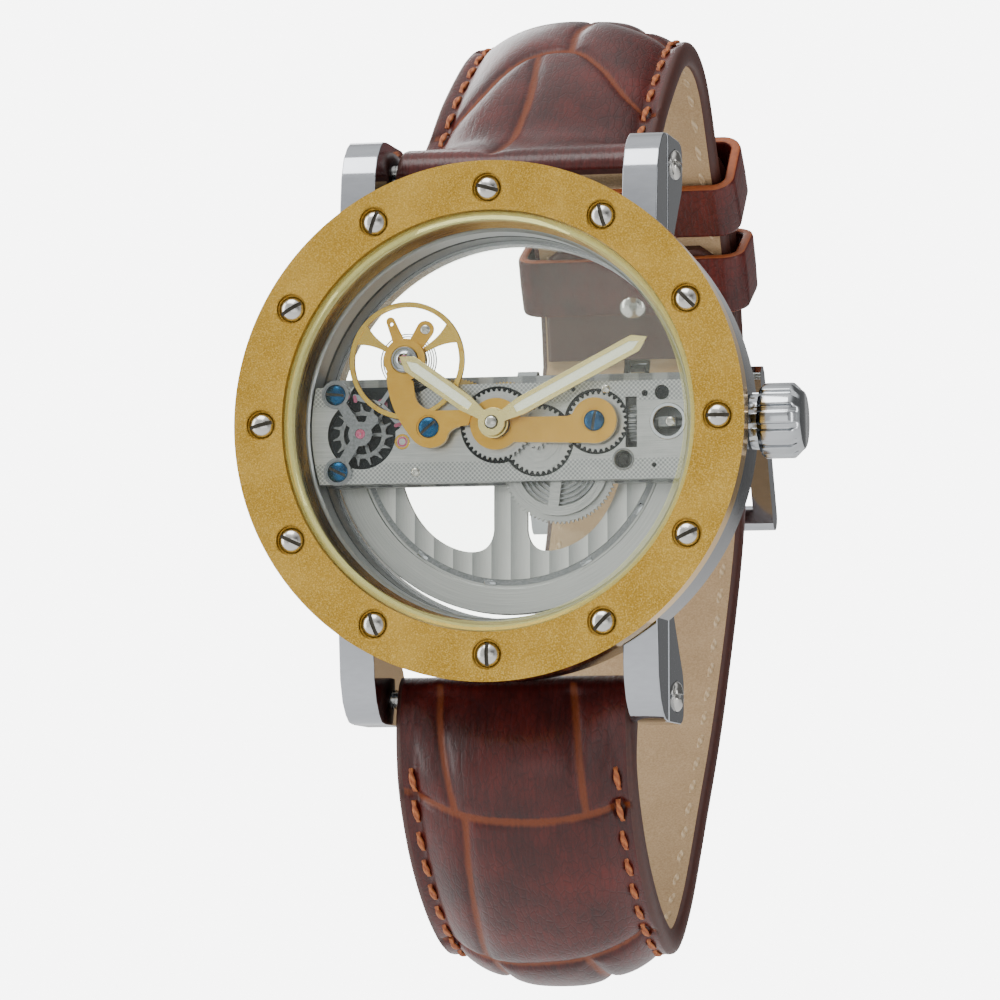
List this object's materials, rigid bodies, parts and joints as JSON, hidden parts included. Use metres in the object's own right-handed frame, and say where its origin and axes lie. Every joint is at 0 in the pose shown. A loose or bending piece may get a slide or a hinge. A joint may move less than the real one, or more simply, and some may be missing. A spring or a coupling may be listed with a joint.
{
  "type": "skeleton wristwatch",
  "caption": "Round skeleton wristwatch: screwed gold bezel, straight-bar automatic movement seen through both crystals, fluted crown and buckled grained leather strap.",
  "frame": {"origin": "on the axis of the hands, at the outer flat face of the back crystal, where the case rests on the wrist", "axes": "+X towards 3 o'clock and the crown, +Z towards 12 o'clock, +Y towards the wrist; the dial side faces -Y"},
  "size_m": [0.0458, 0.0703, 0.0827],
  "materials": {
    "case_steel": "polished steel, darker on the flank",
    "frosted_gold": "gold-plated, sand-blasted to a sparkling grain",
    "polished_steel": "polished stainless steel",
    "crystal": "clear mineral glass with a pale chamfer",
    "gasket": "moulded seal",
    "rehaut_gold": "satin gold plate",
    "bar_steel": "brushed and finely hatched steel",
    "gilt": "polished gilt",
    "blued_steel": "heat-blued steel",
    "wheel_steel": "circular-grained steel",
    "wheel_brass": "satin brass",
    "spring_steel": "dark spring steel",
    "hand_gilt": "pale gilt with a luminous insert",
    "leather": "glossy crocodile-grained calf, dark red-brown"
  },
  "bodies": {
    "case": {"case_middle": "case_steel", "bezel": "frosted_gold", "bezel_screw_01": "polished_steel", "bezel_screw_02": "polished_steel", "bezel_screw_03": "polished_steel", "bezel_screw_04": "polished_steel", "bezel_screw_05": "polished_steel", "bezel_screw_06": "polished_steel", "bezel_screw_07": "polished_steel", "bezel_screw_08": "polished_steel", "bezel_screw_09": "polished_steel", "bezel_screw_10": "polished_steel", "bezel_screw_11": "polished_steel", "bezel_screw_12": "polished_steel", "front_crystal": "crystal", "crystal_gasket": "gasket", "rehaut_ring": "rehaut_gold", "movement_ring": "case_steel", "case_back_ring": "case_steel", "back_crystal": "crystal", "lug_screw_12": "polished_steel", "lug_screw_6": "polished_steel", "main_plate": "bar_steel", "rear_bridge": "bar_steel", "balance_cock": "gilt", "shock_setting": "polished_steel", "regulator": "gilt", "motion_bridge": "gilt", "escape_cock": "bar_steel", "cock_screw": "blued_steel", "bridge_screw": "blued_steel", "escape_cock_screw_upper": "blued_steel", "escape_cock_screw_lower": "blued_steel", "mainspring": "spring_steel", "strap_tail_half": "leather", "hairspring": "spring_steel"},
    "crown_seal": {"crown_gasket": "gasket"},
    "crown_stem": {"crown": "polished_steel", "winding_stem": "wheel_steel"},
    "winding": {"winding_pinion": "wheel_steel"},
    "barrel": {"barrel": "wheel_steel"},
    "centre": {"centre_wheel": "wheel_steel", "cannon_pinion": "wheel_steel", "minute_hand": "hand_gilt"},
    "hour": {"hour_wheel": "wheel_steel", "hour_hand": "hand_gilt"},
    "minute_work": {"minute_wheel": "wheel_steel"},
    "setting": {"setting_wheel": "wheel_steel"},
    "third": {"third_wheel": "wheel_brass"},
    "fourth": {"fourth_wheel": "wheel_brass"},
    "escape": {"escape_wheel": "polished_steel"},
    "pallet": {"pallet_fork": "polished_steel"},
    "balance": {"balance_wheel": "gilt"},
    "rotor": {"rotor": "bar_steel"},
    "strap_buckle_side": {"strap_buckle_half": "leather", "keeper_fixed": "leather", "buckle_bar": "polished_steel"},
    "keeper": {"keeper_free": "leather"},
    "buckle": {"buckle_frame": "polished_steel"},
    "tongue": {"buckle_tongue": "polished_steel"}
  },
  "joints": [
    {"name": "crown_pull", "type": "slide", "parent": "case", "child": "crown_seal", "axis": [1, 0, 0], "range_m": [0, 0.0008]},
    {"name": "crown_turn", "type": "hinge", "parent": "crown_seal", "child": "crown_stem", "pos_m": [0.0213, -0.006, 0], "axis": [1, 0, 0], "continuous": true},
    {"name": "winding_pinion_turn", "type": "hinge", "parent": "case", "child": "winding", "pos_m": [0.01098, -0.006, 0], "axis": [1, 0, 0], "continuous": true},
    {"name": "third_wheel_turn", "type": "hinge", "parent": "case", "child": "third", "pos_m": [-0.00415, -0.005, 0.00065], "axis": [0, 1, 0], "continuous": true},
    {"name": "barrel_turn", "type": "hinge", "parent": "case", "child": "barrel", "pos_m": [0.00466, -0.006, -0.00318], "axis": [0, 1, 0], "continuous": true},
    {"name": "minute_hand_turn", "type": "hinge", "parent": "case", "child": "centre", "pos_m": [0, -0.007, 0], "axis": [0, 1, 0], "continuous": true},
    {"name": "hour_hand_turn", "type": "hinge", "parent": "case", "child": "hour", "pos_m": [0, -0.008, 0], "axis": [0, 1, 0], "continuous": true},
    {"name": "minute_wheel_turn", "type": "hinge", "parent": "case", "child": "minute_work", "pos_m": [0.0033, -0.0075, -0.0013], "axis": [0, 1, 0], "continuous": true},
    {"name": "setting_wheel_turn", "type": "hinge", "parent": "case", "child": "setting", "pos_m": [0.00813, -0.0075, 0.0001], "axis": [0, 1, 0], "continuous": true},
    {"name": "fourth_wheel_turn", "type": "hinge", "parent": "case", "child": "fourth", "pos_m": [-0.0077, -0.0056, -0.001], "axis": [0, 1, 0], "continuous": true},
    {"name": "escape_wheel_turn", "type": "hinge", "parent": "case", "child": "escape", "pos_m": [-0.0114, -0.007, -0.00054], "axis": [0, 1, 0], "continuous": true},
    {"name": "pallet_swing", "type": "hinge", "parent": "case", "child": "pallet", "pos_m": [-0.0099, -0.007, 0.0019], "axis": [0, 1, 0], "range_deg": [-5, 5]},
    {"name": "balance_swing", "type": "hinge", "parent": "case", "child": "balance", "pos_m": [-0.0075, -0.008, 0.00535], "axis": [0, 1, 0], "range_deg": [-140, 140], "stiffness_Nm_per_rad": 0.00000035, "deforming": ["hairspring"]},
    {"name": "rotor_turn", "type": "hinge", "parent": "case", "child": "rotor", "pos_m": [0, -0.0025, 0], "axis": [0, 1, 0], "continuous": true},
    {"name": "strap_hinge", "type": "hinge", "parent": "case", "child": "strap_buckle_side", "pos_m": [0, -0.0005, 0.0218], "axis": [1, 0, 0], "range_deg": [-3, 4], "deforming": ["strap_tail_half"]},
    {"name": "keeper_slide", "type": "slide", "parent": "strap_buckle_side", "child": "keeper", "axis": [0, 0.7071, -0.7071], "range_m": [-0.0012, 0.0006]},
    {"name": "buckle_hinge", "type": "hinge", "parent": "strap_buckle_side", "child": "buckle", "pos_m": [0, 0.0496, 0.0095], "axis": [1, 0, 0], "range_deg": [0, 10]},
    {"name": "tongue_hinge", "type": "hinge", "parent": "buckle", "child": "tongue", "pos_m": [0, 0.0496, 0.0095], "axis": [1, 0, 0], "range_deg": [0, 60]}
  ],
  "couplings": [
    {"joint": "winding_pinion_turn", "follows": "crown_turn", "ratio": 1},
    {"joint": "minute_hand_turn", "follows": "third_wheel_turn", "ratio": -0.125},
    {"joint": "hour_hand_turn", "follows": "third_wheel_turn", "ratio": -0.010417},
    {"joint": "minute_wheel_turn", "follows": "third_wheel_turn", "ratio": 0.041667},
    {"joint": "setting_wheel_turn", "follows": "third_wheel_turn", "ratio": -0.046875},
    {"joint": "barrel_turn", "follows": "third_wheel_turn", "ratio": 0.025},
    {"joint": "fourth_wheel_turn", "follows": "third_wheel_turn", "ratio": -7.5},
    {"joint": "escape_wheel_turn", "follows": "third_wheel_turn", "ratio": 75}
  ]
}
